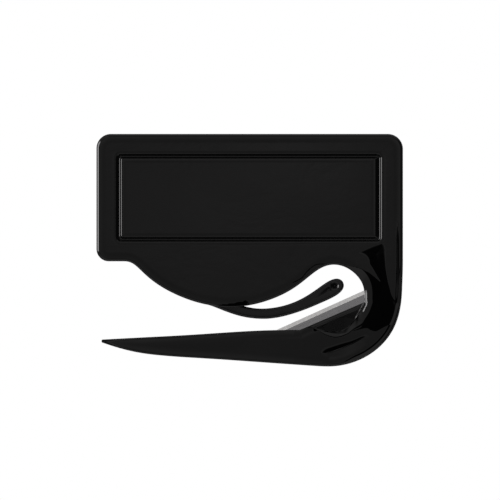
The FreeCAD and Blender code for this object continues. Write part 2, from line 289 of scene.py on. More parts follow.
def groove_depth(P):
    ins = (GX0 + (GW_L), GX1 - GW_R, GY0 + GW_TB, GY1 - GW_TB)
    go = rect_sd(P, GX0, GX1, GY0, GY1, G_R)
    gi = -rect_sd(P, *ins, G_RI)
    no = rect_dir(P, GX0, GX1, GY0, GY1, G_R)
    ni = rect_dir(P, *ins, G_RI)
    # outer wall: long on the right, the rest of the width on the left, steep above and below
    lo, li = sstep(no, 0.3, 0.9), sstep(-ni, 0.3, 0.9)
    ws = np.where(P[:, 1] > (GY0 + GY1) / 2, G_STEEP + 0.16, G_STEEP)
    wn = np.where(P[:, 1] > (GY0 + GY1) / 2, G_STEEP, G_STEEP + 0.16)
    wo = ws + (G_LONG - ws) * lo + (GW_L - G_LONG - ws) * sstep(-no, 0.3, 0.9)
    wi = wn + (G_LONG - wn) * li + (GW_R - G_LONG - wn) * sstep(ni, 0.3, 0.9)
    t = np.minimum(bank(go / wo, 0.12 + 0.38 * lo), bank(gi / wi, 0.12 + 0.38 * li))
    deep = G_DEPTH + 0.11 * (1 - sstep(np.maximum(np.abs(no), np.abs(ni)), 0.3, 0.9))
    lip = np.clip(1 - np.abs(np.minimum(go, gi)) / 0.85, 0, None) ** 2
    return np.where((go > 0) & (gi > 0), deep * t + 0.009, 0.009 * lip)


def edge_radius(P):
    """Radius of the rounded edge along the outline."""
    x, y = P[:, 0], P[:, 1]
    r = np.full(len(P), EDGE_R)
    eye = sstep(x, 26.5, 30.0) * sstep(-y, 4.5, 8.0) * sstep(y, -16.0, -14.0)
    r = r - 0.26 * eye
    r = r - 0.47 * sstep(x, -10.5, -7.5) * (1 - sstep(x, -1.0, 0.8)) * sstep(-y, 11.0, 13.0) * sstep(y, -18.0, -16.0)
    r = r + 0.20 * left_side(P)
    fang = sstep(-y, 19.0, 22.0) * (1 - sstep(x, 10, 24))
    r = r - 0.15 * fang + 0.60 * (y < -19) * (1 - sstep(x, -39.0, -33.5))
    slot = sstep(-y, 13.0, 15.0) * sstep(x, 13.0, 15.5) * (1 - sstep(x, 29.6, 31.5)) * (1 - sstep(-y, 21.5, 23.0))
    r = r * (1 - slot) + 0.16 * slot
    return r


def left_side(P):
    return (1 - sstep(P[:, 0], -40.6, -37.5)) * (P[:, 1] > -4)


def level(P, q):
    """The ramp between the grip's level and the fang's, and the fang's taper."""
    x, y = P[:, 0], P[:, 1]
    i0, i1 = q["in0"], q["in1"]
    s0 = np.where(i0, 0, np.hypot(x - q["z0"][:, 0], y - q["z0"][:, 1]))
    s1 = np.where(i1, 0, np.hypot(x - q["z1"][:, 0], y - q["z1"][:, 1]))
    t = s0 / (s0 + s1 + 1e-9)
    t = np.where(i0, 0.0, np.where(i1, 1.0, t))
    t = t * t / (t + 0.06) * 1.06
    a, p = 0.02, 0.75
    t = ((t + a) ** p - a ** p) / ((1 + a) ** p - a ** p)
    return -DROP * t - FANG_TAPER * np.clip((14.0 - x) / 54.0, 0, 1) * (y < -19)


def height(P, q, groove=True, ramp=True):
    """Height of the face under its highest plane at points P; q has their nearest points on CURVES."""
    x, y = P[:, 0], P[:, 1]

    def dist(k):
        return np.hypot(P[:, 0] - q[k][:, 0], P[:, 1] - q[k][:, 1])

    dA, dB, dR = dist("A"), dist("B"), dist("R")
    D = np.minimum(np.minimum(dA, dB), dR)

    def crown(d):
        return -CROWN * np.clip(1 - d / CROWN_W, 0, 1) ** 2

    fang = (y < -19) & (x < 12)
    h = np.where(fang, 1.25 * (crown(dA) + crown(dB)), crown(D))
    lev = level(P, q)
    h = h + lev
    # band round the outside of the hook, and the fine line above it
    w = sstep(-y, -1.0, 10.5) * sstep(x, 22.0, 29.0)
    dr = np.minimum(dA, dR)
    h = h - math.tan(math.radians(RIM_TILT)) * np.where(
        w > 0, softplus(RIM_W * w - dr, RIM_F * w + 0.02), 0.0)
    h = h - 0.034 * np.exp(-((dr - 1.40) / 0.18) ** 2) * sstep(-y, -8.0, -1.0) * (1 - sstep(-y, 11.5, 15.0)) * (x > 34)
    # lip of the grip over the finger's root, wider towards the gap
    lip = (0.10 + 1.25 * np.clip((x + 10.4) / 9.4, 0, 1)) * sstep(x, -11.0, -9.5) * (1 - sstep(x, -1.2, 0.4)) * ((y < -11) & (y > -17))
    h = h - np.where(lip > 0, 0.10 * softplus(lip - dB, 0.04), 0.0)
    # broad round-over along the right wall of the eye and the pocket's arc
    inp = q["inp"]
    dP = np.where(inp, 0.0, np.minimum(dist("eye"), dist("pocket")))
    low = sstep(-y, 15.0, 17.0)
    wide = 0.40 + 0.85 * sstep(x, 18.0, 23.5) + 0.95 * sstep(x, 27.3, 30.5) * np.where(inp, 0.0, 1.0)
    wide = wide * sstep(x, 17.0, 20.5)
    fall = math.tan(math.radians(EYE_TILT)) * (1 + 0.42 * low * sstep(x, 25.4, 28.4))
    we = (EYE_W * (1 - low) * sstep(x, 16.8, 20.5) + wide * low) * sstep(-y, 3.5, 5.5)
    we = np.where(inp, wide, we)
    right = (x > 16.2) & (y < -3.4)
    h = h - np.where(right, fall * softplus(we - dP, EYE_F * we / EYE_W + 0.02), 0.0)
    # fine step beside the eye's right wall
    w2 = sstep(-y, 9.6, 10.8) * (1 - sstep(-y, 15.6, 17.4)) * (x > 26)
    mid = 0.56 + 0.16 * sstep(-y, 13.0, 15.0)
    h = h - 0.085 * w2 * (1 - sstep(dP - mid, -0.17, 0.17))
    # short furrow on the fang's root: a slow fall on its upper side, a quick rise on the other
    dS = dist("streak")
    far = sstep(x, 22.0, 31.0)
    cut = np.where(q["below"], 0.42 * np.clip(1 - dS / 3.0, 0, None) + 0.58 * np.clip(1 - dS / 0.14, 0, None),
                   np.clip(1 - dS / (1.70 - 1.00 * far), 0, None) ** 2)
    h = h - (0.070 - 0.045 * far) * cut * sstep(x, 18.8, 21.8) * (1 - sstep(x, 29.5, 32.6))
    # ledge on the left of the eye
    dL = dist("ledge")
    h = h - np.where(q["led"], 0.016 * sstep(dL, 0, 0.24), 0.0)
    # pocket under the blade slot, fading out on the left
    dpk = dist("pocket")
    dsl = dist("slot")
    rdg = np.minimum(dist("ridge"), 6.0)
    up = np.where(q["above"], 1.0, 0.0) * sstep(x, 17.5, 21.5)
    floor = -DROP - 0.12 * sstep(x, 15.8, 18.3) - 0.17 * np.clip((x - 18.0) / 7.5, 0, 1) - 0.085 * rdg * up
    # with a narrow flat lip along the slot
    lipz = -DROP - 0.022 * np.clip(x - 15.0, 0, 16.0) - 0.022 * np.clip(0.84 - dsl, 0, None)
    wl = 1 - sstep(dsl, 0.80, 1.15)
    floor = floor * (1 - wl) + lipz * wl
    floor = np.maximum(floor, -1.295)
    wall = 0.22 + 0.12 * sstep(x, 25.0, 28.5)
    wpk = np.where(inp, sstep(dpk, 0.0, wall), 0.0)
    h = h - wpk * np.maximum(h - floor, 0.0)
    # two short dents beside the lip
    for (nx, ny) in ((17.95, -21.2), (20.15, -20.25)):
        c, s_ = math.cos(math.radians(27)), math.sin(math.radians(27))
        u = (x - nx) * c + (y - ny) * s_
        v = -(x - nx) * s_ + (y - ny) * c
        h = h - 0.042 * np.exp(-((u / 0.72) ** 2 + (v / 0.32) ** 2))
    # groove round the panel
    if groove:
        h = h - groove_depth(P)
    # rounded edge
    R = edge_radius(P)
    k = np.clip(R - D, 0, None)
    tall = np.minimum(R, 0.62) - 0.07 * left_side(P)
    h = h - tall * (1 - np.sqrt(np.clip(1 - (k / R) ** 2, 0, None))) - 0.18 * k
    # never lower than just above the parting plane
    h = -1.40 + softplus(h + 1.40, 0.06)
    if not ramp:
        h = h - lev
    return h, D
# <<< shape functions


# ======================================================================================
# Meshes
# ======================================================================================
def nearest(P, Q):
    """Nearest point on the polyline Q for each of the points P."""
    tree = KDTree(len(Q))
    for i, (a, b) in enumerate(Q.tolist()):
        tree.insert((a, b, 0.0), i)
    tree.balance()
    find = tree.find
    idx = np.fromiter((find((a, b, 0.0))[1] for a, b in P.tolist()), int, len(P))
    best = Q[idx].copy()
    bd = np.hypot(*(P - best).T)
    for k in (-1, 0):
        j = np.clip(idx + k, 0, len(Q) - 2)
        a = Q[j]
        e = Q[j + 1] - a
        L = (e ** 2).sum(1)
        L[L == 0] = 1e-12
        t = np.clip(((P - a) * e).sum(1) / L, 0, 1)
        c = a + t[:, None] * e
        d = np.hypot(*(P - c).T)
        k2 = d < bd
        best[k2] = c[k2]
        bd[k2] = d[k2]
    return best


FINE = {k: resample(v, 0.12) for k, v in CURVES.items()}
FAR = 1.0e3


def locate(P):
    """Nearest points on every shaping curve, and which regions each point lies in."""
    q = {}
    x, y = P[:, 0], P[:, 1]
    for k, Q in FINE.items():
        if k in ("A", "B", "R"):
            sel = np.ones(len(P), bool)
        else:
            lo, hi = Q.min(0), Q.max(0)
            m = 30.0 if k in ("z0", "z1") else 3.0
            if k in ("z0", "z1"):
                sel = (x > 8) & (y < 3.5)
            else:
                m = 9.0 if k == "ridge" else m
                sel = (x > lo[0] - m) & (x < hi[0] + m) & (y > lo[1] - m) & (y < hi[1] + m)
        out = np.full((len(P), 2), FAR)
        if sel.any():
            out[sel] = nearest(P[sel], Q)
        q[k] = out
    near = (x > 8) & (y < 3.5)
    in0 = ~near
    in1 = np.zeros(len(P), bool)
    in0[near] = inside(P[near], Z0)
    in1[near] = inside(P[near], Z1)
    far_fang = (x <= 8) & (y < -19)
    in0[far_fang] = False
    in1[far_fang] = True
    in0[(x < 24) & (y > -17)] = True
    q["in0"], q["in1"] = in0, in1 & ~in0
    q["inp"] = inside(P, POCKET)
    above_poly = np.vstack([POCKET_RIDGE, [(31.5, -18.0), (31.5, -13.0), (15.0, -20.5)]])
    q["above"] = inside(P, above_poly)
    below_poly = np.vstack([STREAK, [(36.0, -21.0), (36.0, -33.0), (17.0, -33.0)]])
    q["below"] = inside(P, below_poly)
    led_poly = np.vstack([LEDGE, [(20.2, -6.5), (15.0, -9.5), (11.6, -12.0)]])
    q["led"] = inside(P, led_poly)
    return q


def inward(loop):
    """Unit normals pointing into a clockwise closed loop."""
    t = np.roll(loop, -1, axis=0) - np.roll(loop, 1, axis=0)
    n = np.c_[t[:, 1], -t[:, 0]]
    return n / np.linalg.norm(n, axis=1, keepdims=True)


def thin(P, keep, r):
    """Drops the points of P closer than r to a point of keep or to an earlier point of P."""
    cell = {}
    inv = 1.0 / r
    for a, b in keep.tolist():
        cell.setdefault((int(a * inv // 1), int(b * inv // 1)), []).append((a, b))
    out = []
    r2 = r * r
    for a, b in P.tolist():
        i, j = int(a * inv // 1), int(b * inv // 1)
        ok = True
        for di in (-1, 0, 1):
            for dj in (-1, 0, 1):
                for (c, d) in cell.get((i + di, j + dj), ()):
                    if (a - c) ** 2 + (b - d) ** 2 < r2:
                        ok = False
                        break
                if not ok:
                    break
            if not ok:
                break
        if ok:
            out.append((a, b))
            cell.setdefault((i, j), []).append((a, b))
    return np.array(out) if out else np.zeros((0, 2))


def hexgrid(x0, x1, y0, y1, s):
    ys = np.arange(y0, y1, s * 0.866)
    rows = []
    for k, yy in enumerate(ys):
        xs = np.arange(x0 + (k % 2) * s / 2, x1, s)
        rows.append(np.c_[xs, np.full(len(xs), yy)])
    return np.vstack(rows)


def both_sides(Q, offs, step):
    Q = resample(Q, step)
    t = np.gradient(Q, axis=0)
    n = np.c_[t[:, 1], -t[:, 0]]
    n /= np.linalg.norm(n, axis=1, keepdims=True)
    return np.vstack([Q + o * n for o in offs])


def rect_ring(x0, x1, y0, y1, r, step):
    if r <= 0.02:
        c = [(x0, y0), (x1, y0), (x1, y1), (x0, y1), (x0, y0)]
        return resample(np.array(c, float), step)
    q = np.vstack([arc(x1 - r, y0 + r, r, -90, 0, 14), arc(x1 - r, y1 - r, r, 0, 90, 14),
                   arc(x0 + r, y1 - r, r, 90, 180, 14), arc(x0 + r, y0 + r, r, 180, 270, 14)])
    q = np.vstack([q, q[:1]])
    return resample(q, step)


def face_points(groove):
    loop = OUT
    n = inward(loop)
    R = edge_radius(loop)
    pts = []
    # rings close to the outline follow the rounded edge
    for ang in (80, 68, 57, 46, 36, 27, 18, 9, 0):
        pts.append(loop + n * (R * (1 - math.sin(math.radians(ang))))[:, None])
    for k, o in enumerate((0.10, 0.22, 0.38, 0.60, 0.85, 1.15, 1.5, 1.9, 2.35, 2.8)):
        p = loop + n * (R + o)[:, None]
        pts.append(p[::(1 if k < 4 else 2)])
    rings = np.vstack(pts)
    feats = [both_sides(C, (-0.24, -0.10, 0.0, 0.10, 0.24), 0.16) for C in (C0A, C0B, C0C, C1)]
    feats += [both_sides(POCKET_ARC, (-0.35, -0.27, -0.2, -0.13, -0.06, 0.0, 0.1, 0.24), 0.14)]
    feats += [both_sides(LEDGE, (-0.4, -0.3, -0.2, -0.1, 0.0, 0.12), 0.14)]
    feats += [both_sides(STREAK, (-1.5, -1.2, -0.95, -0.7, -0.5, -0.3, -0.15, -0.07, 0.0, 0.07, 0.14, 0.3, 0.5, 0.7, 0.95, 1.2, 1.5), 0.16)]
    feats += [both_sides(POCKET_RIDGE, (-0.15, 0.0, 0.15), 0.16)]
    for f in (1.2, 1.28, 1.36, 1.42, 1.48, 1.54, 1.60, 1.68):
        q = loop + n * f
        feats.append(q[(q[:, 0] > 15) & (q[:, 1] < 9) & ((q[:, 0] > 36) | (q[:, 1] < -17))])
    for f in (0.36, 0.44, 0.50, 0.56, 0.62, 0.68, 0.76, 1.0, 1.3, 1.6):
        q = loop + n * f
        feats.append(q[(q[:, 0] > 14) & (q[:, 0] < 35) & (q[:, 1] < -8.5) & (q[:, 1] > -22.5)])
    if groove:
        ins = (GX0 + GW_L, GX1 - GW_R, GY0 + GW_TB, GY1 - GW_TB)
        for a in np.linspace(0, 1, 30):
            feats.append(rect_ring(GX0 + a * GW_L, GX1 - a * GW_R, GY0 + a * GW_TB, GY1 - a * GW_TB,
                                   G_R + (G_RI - G_R) * a, 0.30))
        for o in (0.12, 0.3):
            feats.append(rect_ring(GX0 - o, GX1 + o, GY0 - o, GY1 + o, G_R + o, 0.4))
            feats.append(rect_ring(ins[0] + o, ins[1] - o, ins[2] + o, ins[3] - o, max(G_RI - o, 0), 0.4))
    feats = np.vstack(feats)
    fine = hexgrid(13.0, 41.3, -31.3, 3.5, 0.24)
    coarse = hexgrid(-41.3, 41.3, -31.3, 31.3, 0.8)
    coarse = coarse[~((coarse[:, 0] > 13.0) & (coarse[:, 1] < 3.5))]
    # keep what lies on the face, clear of the outline
    D = {}

    def dist_out(P):
        return np.hypot(*(P - nearest(P, np.vstack([OUT, OUT[:1]]))).T)

    rings = rings[inside(rings, OUT)]
    d = dist_out(rings)
    # drop ring points that lie on the outline itself
    rings = rings[d > 0.008]
    feats = feats[inside(feats, OUT)]
    feats = feats[dist_out(feats) > 0.25]
    others = np.vstack([fine, coarse])
    others = others[inside(others, OUT)]
    others = others[dist_out(others) > 0.25]
    pts = thin(rings, OUT, 0.0085)
    pts = np.vstack([pts, thin(feats, pts, 0.034)])
    return np.vstack([pts, thin(others, pts, 0.11)])


def boundary_loop(faces):
    """The single closed boundary of a triangle list, in face winding order."""
    nxt = {}
    seen = set()
    for f in faces:
        for a, b in zip(f, f[1:] + f[:1]):
            seen.add((a, b))
    for a, b in seen:
        if (b, a) not in seen:
            nxt[a] = b
    start = next(iter(nxt))
    loop = [start]
    while True:
        n = nxt[loop[-1]]
        if n == start:
            break
        loop.append(n)
    if len(loop) != len(nxt):
        raise RuntimeError("boundary isn't one loop: %d of %d" % (len(loop), len(nxt)))
    return loop


def triangulate(loop, pts):
    n = len(loop)
    allp = [Vector(p) for p in np.vstack([loop, pts]).tolist()]
    edges = [(i, (i + 1) % n) for i in range(n)]
    v, _, f, ov, _, _ = delaunay_2d_cdt(allp, edges, [], 1, 1e-5)
    V = np.array([(a.x, a.y) for a in v])
    F = [list(t) for t in f]
    # counter-clockwise winding
    out = []
    for t in F:
        if len(t) != 3:
            for k in range(1, len(t) - 1):
                out.append([t[0], t[k], t[k + 1]])
        else:
            out.append(t)
    T = np.array(out)
    a, b, c = V[T[:, 0]], V[T[:, 1]], V[T[:, 2]]
    area = (b[:, 0] - a[:, 0]) * (c[:, 1] - a[:, 1]) - (b[:, 1] - a[:, 1]) * (c[:, 0] - a[:, 0])
    T[area < 0] = T[area < 0][:, ::-1]
    T = T[np.abs(area) > 1e-9]
    return V, T


def make_object(name, verts, faces, corner_normals=None):
    me = bpy.data.meshes.new(name)
    me.from_pydata((np.asarray(verts) * MM).tolist(), [], faces)
    me.polygons.foreach_set("use_smooth", [True] * len(me.polygons))
    me.update()
    if corner_normals is not None:
        me.normals_split_custom_set(corner_normals.tolist())
    ob = bpy.data.objects.new(name, me)
    bpy.context.collection.objects.link(ob)
    return ob


def shell(name, front):
    pts = face_points(front)
    V, T = triangulate(OUT, pts)
    q = locate(V)
    h, D = height(V, q, front)
    e = 0.003

    def hh(dx, dy):
        return height(V + np.array([dx, dy]), q, front)[0]

    gx = (hh(e, 0) - hh(-e, 0)) / (2 * e)
    gy = (hh(0, e) - hh(0, -e)) / (2 * e)
    N = np.c_[-gx, -gy, np.ones(len(V))]
    N /= np.linalg.norm(N, axis=1, keepdims=True)
    faces = T.tolist()
    # the ramp has creases: each triangle takes its own slope there, unless its corners agree with it
    C = V[T].mean(1)
    hot = (C[:, 0] > 8) & (C[:, 1] < 3.6)
    Ch = C[hot]
    qc = {k: v for k, v in locate(Ch).items()}

    def slope(P, qq):
        return np.c_[(level(P + (e, 0), qq) - level(P - (e, 0), qq)) / (2 * e),
                     (level(P + (0, e), qq) - level(P - (0, e), qq)) / (2 * e)]

    gv = slope(V, q)
    gc = slope(Ch, qc)
    corner_g = np.c_[gx, gy][T]                     # (faces, 3, 2)
    diff = gv[T[hot]] - gc[:, None, :]
    rough = np.linalg.norm(diff, axis=2) > 0.02
    corner_g[hot] = np.where(rough[..., None], corner_g[hot] - diff, corner_g[hot])
    bl = boundary_loop(faces)          # counter-clockwise for upward faces
    L2 = V[bl]
    t = np.roll(L2, -1, axis=0) - np.roll(L2, 1, axis=0)
    outw = np.c_[t[:, 1], -t[:, 0]]
    outw /= np.linalg.norm(outw, axis=1, keepdims=True)
    N[bl, 0], N[bl, 1], N[bl, 2] = outw[:, 0], outw[:, 1], 0.02
    N /= np.linalg.norm(N, axis=1, keepdims=True)
    nb = len(bl)
    half = THICK / 2
    verts = [np.c_[V, half + h]]       # z measured from the parting plane
    base = len(V)
    v_top, v_in = 0.12, 0.11
    rows = [(0.0, 0.66), (0.0, 0.33), (0.0, 0.0)]
    ztop = half + h[bl]
    prev = list(bl)
    quads, qn = [], []
    idx = base
    for ins, f in rows:
        z = v_top + (ztop - v_top) * f
        verts.append(np.c_[L2 - outw * ins, z])
        cur = list(range(idx, idx + nb))
        idx += nb
        for i in range(nb):
            j = (i + 1) % nb
            quads.append([prev[j], prev[i], cur[i], cur[j]])
            qn.append((j, i, i, j))
        prev = cur
    wall_n = len(quads)
    # small V at the parting line
    verts.append(np.c_[L2 - outw * v_in, np.zeros(nb)])
    cur = list(range(idx, idx + nb))
    idx += nb
    for i in range(nb):
        j = (i + 1) % nb
        quads.append([prev[j], prev[i], cur[i], cur[j]])
        qn.append((j, i, i, j))
    # closing face on the parting plane
    ring = L2 - outw * v_in
    capv = [Vector(p) for p in ring.tolist()]
    cv, _, cf, cov, _, _ = delaunay_2d_cdt(capv, [(i, (i + 1) % nb) for i in range(nb)], [], 1, 1e-6)
    back = {}
    for k, src in enumerate(cov):
        if src:
            back[k] = cur[src[0]]
    caps = []
    for f_ in cf:
        if all(k in back for k in f_):
            g = [back[k] for k in f_]
            a, b, c = (cv[k] for k in f_[:3])
            if (b.x - a.x) * (c.y - a.y) - (b.y - a.y) * (c.x - a.x) > 0:
                g = g[::-1]
            caps.append(g)
    VV = np.vstack(verts)
    TN = np.dstack([-corner_g[..., 0], -corner_g[..., 1], np.ones(T.shape)])
    TN /= np.linalg.norm(TN, axis=2, keepdims=True)
    on_edge = np.zeros(len(V), bool)
    on_edge[bl] = True
    TN = np.where(on_edge[T][..., None], N[T], TN)
    CN = [TN.reshape(-1, 3)]
    W = np.array(qn)
    on = np.c_[outw, np.zeros(nb)]
    CN.append(on[W[:wall_n]].reshape(-1, 3))
    vn = np.c_[outw * 0.735, np.full(nb, -0.678)]
    CN.append(vn[W[wall_n:]].reshape(-1, 3))
    CN.append(np.tile([[0.0, 0.0, -1.0]], (sum(len(c) for c in caps), 1)))
    CN = np.vstack(CN)
    F = faces + quads + caps
    if front:
        VV = VV + np.array([0, 0, half])
    else:
        VV = VV * np.array([1, 1, -1]) + np.array([0, 0, half])
        CN = CN * np.array([1, 1, -1])
        F = [f_[::-1] for f_ in F]
        # reverse the corner order to match the flipped winding
        out, k = [], 0
        for f_ in F:
            out.append(CN[k:k + len(f_)][::-1])
            k += len(f_)
        CN = np.vstack(out)
    ob = make_object(name, VV, F, CN)
    return ob, dict(verts=len(VV), faces=len(F))


# ---- guide finger ---------------------------------------------------------------------
FINGER_Z0, FINGER_Z1, FINGER_R = 0.30, 1.54, 0.50
DIMPLE = (22.84, -9.56)


def finger_height(P, q, top):
    D = np.hypot(*(P - q).T)
    w = 1.30
    h = -0.014 * np.clip(1 - D / w, 0, 1) ** 2
    x, y = P[:, 0], P[:, 1]
    if top:
        # countersunk blind hole at the tip and the shallow furrow that leads to it
        r = np.hypot(x - DIMPLE[0], y - DIMPLE[1])
        h = h - 0.13 * np.clip((1.18 - r) / 0.28, 0, 1) - 0.50 * (1 - sstep(r, 0.78, 0.90))
        h = h - 0.065 * np.clip(1 - r / 0.78, 0, 1)
        ax, ay = DIMPLE[0] - 1.2, DIMPLE[1] - 0.75
        c, s = math.cos(math.radians(33)), math.sin(math.radians(33))
        u = (x - ax) * c + (y - ay) * s
        v = -(x - ax) * s + (y - ay) * c
        cut = np.where(v > 0, np.clip(1 - v / 0.95, 0, None) ** 2,
                       0.45 * np.clip(1 + v / 1.5, 0, None) + 0.55 * np.clip(1 + v / 0.14, 0, None))
        h = h - 0.085 * cut * np.exp(np.minimum(u, 0) / 2.1) * sstep(-u, -0.25, 0.45)
        h = h + 0.018 * (y + 14.0) * (1 - sstep(x, 9.0, 19.0))
    R = FINGER_R
    k = np.clip(R - D, 0, None)
    return h - (R - np.sqrt(np.clip(R * R - k * k, 0, None))) - 0.16 * k


def finger():
    loop = resample(np.vstack([bspline(FINGER, 900), FINGER[:1]]), 0.12)[:-1]
    # clockwise order is kept for inward()
    area = 0.5 * np.sum(loop[:, 0] * np.roll(loop[:, 1], -1) - np.roll(loop[:, 0], -1) * loop[:, 1])
    if area > 0:
        loop = loop[::-1]
    loop = loop - inward(loop) * (0.07 * sstep(loop[:, 0], 1.0, 6.0))[:, None]
    n = inward(loop)
    closed = np.vstack([loop, loop[:1]])
    pts = []
    for a in (78, 64, 50, 37, 25, 12, 0):
        pts.append(loop + n * FINGER_R * (1 - math.sin(math.radians(a))))
    for o in (0.55, 0.70, 0.88, 1.08, 1.25):
        pts.append((loop + n * o)[::2])
    rr = []
    for r in (0.0, 0.3, 0.52, 0.64, 0.72, 0.78, 0.81, 0.84, 0.87, 0.90, 0.96, 1.04, 1.12, 1.18, 1.28):
        m = max(1, int(2 * math.pi * r / 0.10))
        a = np.linspace(0, 2 * math.pi, m, endpoint=False)
        rr.append(np.c_[DIMPLE[0] + r * np.cos(a), DIMPLE[1] + r * np.sin(a)])
    rr = np.vstack(rr)
    ang = math.radians(33)
    uu = np.arange(-7.0, 0.3, 0.14)
    for v in (-0.45, -0.30, -0.14, -0.07, 0.0, 0.07, 0.18, 0.32, 0.47, 0.64):
        rr = np.vstack([rr, np.c_[DIMPLE[0] - 1.2 + uu * math.cos(ang) - v * math.sin(ang),
                                  DIMPLE[1] - 0.75 + uu * math.sin(ang) + v * math.cos(ang)]])
    rr = rr[inside(rr, loop)]
    rr = rr[np.hypot(*(rr - nearest(rr, closed)).T) > 0.52]
    grid = hexgrid(-12, 27, -19, -7, 0.26)
    P = np.vstack([np.vstack(pts)])
    P = P[inside(P, loop)]
    d = np.hypot(*(P - nearest(P, closed)).T)
    P = P[d > 0.008]
    more = np.vstack([rr, grid])
    more = more[inside(more, loop)]
    d = np.hypot(*(more - nearest(more, closed)).T)
    more = more[d > 0.10]
    P = thin(np.vstack([rr, P]), loop, 0.012)
    more = thin(more, P, 0.09)
    V, T = triangulate(loop, np.vstack([P, more]))
    q = nearest(V, closed)
    zt = FINGER_Z1 + finger_height(V, q, True)
    zb = FINGER_Z0 - finger_height(V, q, False)
    faces = T.tolist()
    bl = boundary_loop(faces)
    nv = len(V)
    verts = np.vstack([np.c_[V, zt], np.c_[V, zb]])
    F = [list(f) for f in faces] + [[a + nv for a in f[::-1]] for f in faces]
    nb = len(bl)
    mid = []
    idx = 2 * nv
    rows = [bl]
    for f in (0.66, 0.33):
        z = zb[bl] + (zt[bl] - zb[bl]) * f
        mid.append(np.c_[V[bl], z])
        rows.append(list(range(idx, idx + nb)))
        idx += nb
    rows.append([b + nv for b in bl])
    verts = np.vstack([verts] + mid)
    for a, b in zip(rows[:-1], rows[1:]):
        for i in range(nb):
            j = (i + 1) % nb
            F.append([a[j], a[i], b[i], b[j]])
    return make_object("finger_arm", verts, F)


# ======================================================================================
# Materials
# ======================================================================================
class Nodes:
    """Short names for building a node tree."""

    def __init__(self, tree):
        self.t = tree
        self.n = tree.nodes
        self.l = tree.links

    def add(self, kind, **props):
        nd = self.n.new(kind)
        for k, v in props.items():
            setattr(nd, k, v)
        return nd

    def put(self, sock, value):
        if isinstance(value, bpy.types.NodeSocket):
            self.l.new(value, sock)
        else:
            sock.default_value = value

    def math(self, op, a, b=None, c=None, clamp=False):
        nd = self.add("ShaderNodeMath", operation=op, use_clamp=clamp)
        self.put(nd.inputs[0], a)
        if b is not None:
            self.put(nd.inputs[1], b)
        if c is not None:
            self.put(nd.inputs[2], c)
        return nd.outputs[0]

    def smooth(self, x, lo, hi, a=0.0, b=1.0):
        nd = self.add("ShaderNodeMapRange", interpolation_type="SMOOTHSTEP")
        self.put(nd.inputs["Value"], x)
        nd.inputs["From Min"].default_value = lo
        nd.inputs["From Max"].default_value = hi
        nd.inputs["To Min"].default_value = a
        nd.inputs["To Max"].default_value = b
        return nd.outputs["Result"]

    def noise(self, vec, scale, detail=3.0, rough=0.5, dist=0.0):
        nd = self.add("ShaderNodeTexNoise")
        self.put(nd.inputs["Vector"], vec)
        nd.inputs["Scale"].default_value = scale
        nd.inputs["Detail"].default_value = detail
        nd.inputs["Roughness"].default_value = rough
        nd.inputs["Distortion"].default_value = dist
        return nd.outputs[0]

    def mapping(self, vec, scale=(1, 1, 1), rot=(0, 0, 0), loc=(0, 0, 0)):
        nd = self.add("ShaderNodeMapping")
        self.put(nd.inputs["Vector"], vec)
        nd.inputs["Scale"].default_value = scale
        nd.inputs["Rotation"].default_value = rot
        nd.inputs["Location"].default_value = loc
        return nd.outputs[0]

    def mix_rgb(self, f, a, b):
        nd = self.add("ShaderNodeMix", data_type="RGBA")
        self.put(nd.inputs[0], f)
        self.put(nd.inputs[6], a)
        self.put(nd.inputs[7], b)
        return nd.outputs[2]

    def bump(self, height, strength, distance, normal=None):
        nd = self.add("ShaderNodeBump")
        nd.inputs["Strength"].default_value = strength
        nd.inputs["Distance"].default_value = distance
        self.put(nd.inputs["Height"], height)
        if normal is not None:
            self.put(nd.inputs["Normal"], normal)
        return nd.outputs[0]


def new_material(name):
    m = bpy.data.materials.new(name)
    m.use_nodes = True
    m.node_tree.nodes.clear()
    return m, Nodes(m.node_tree)


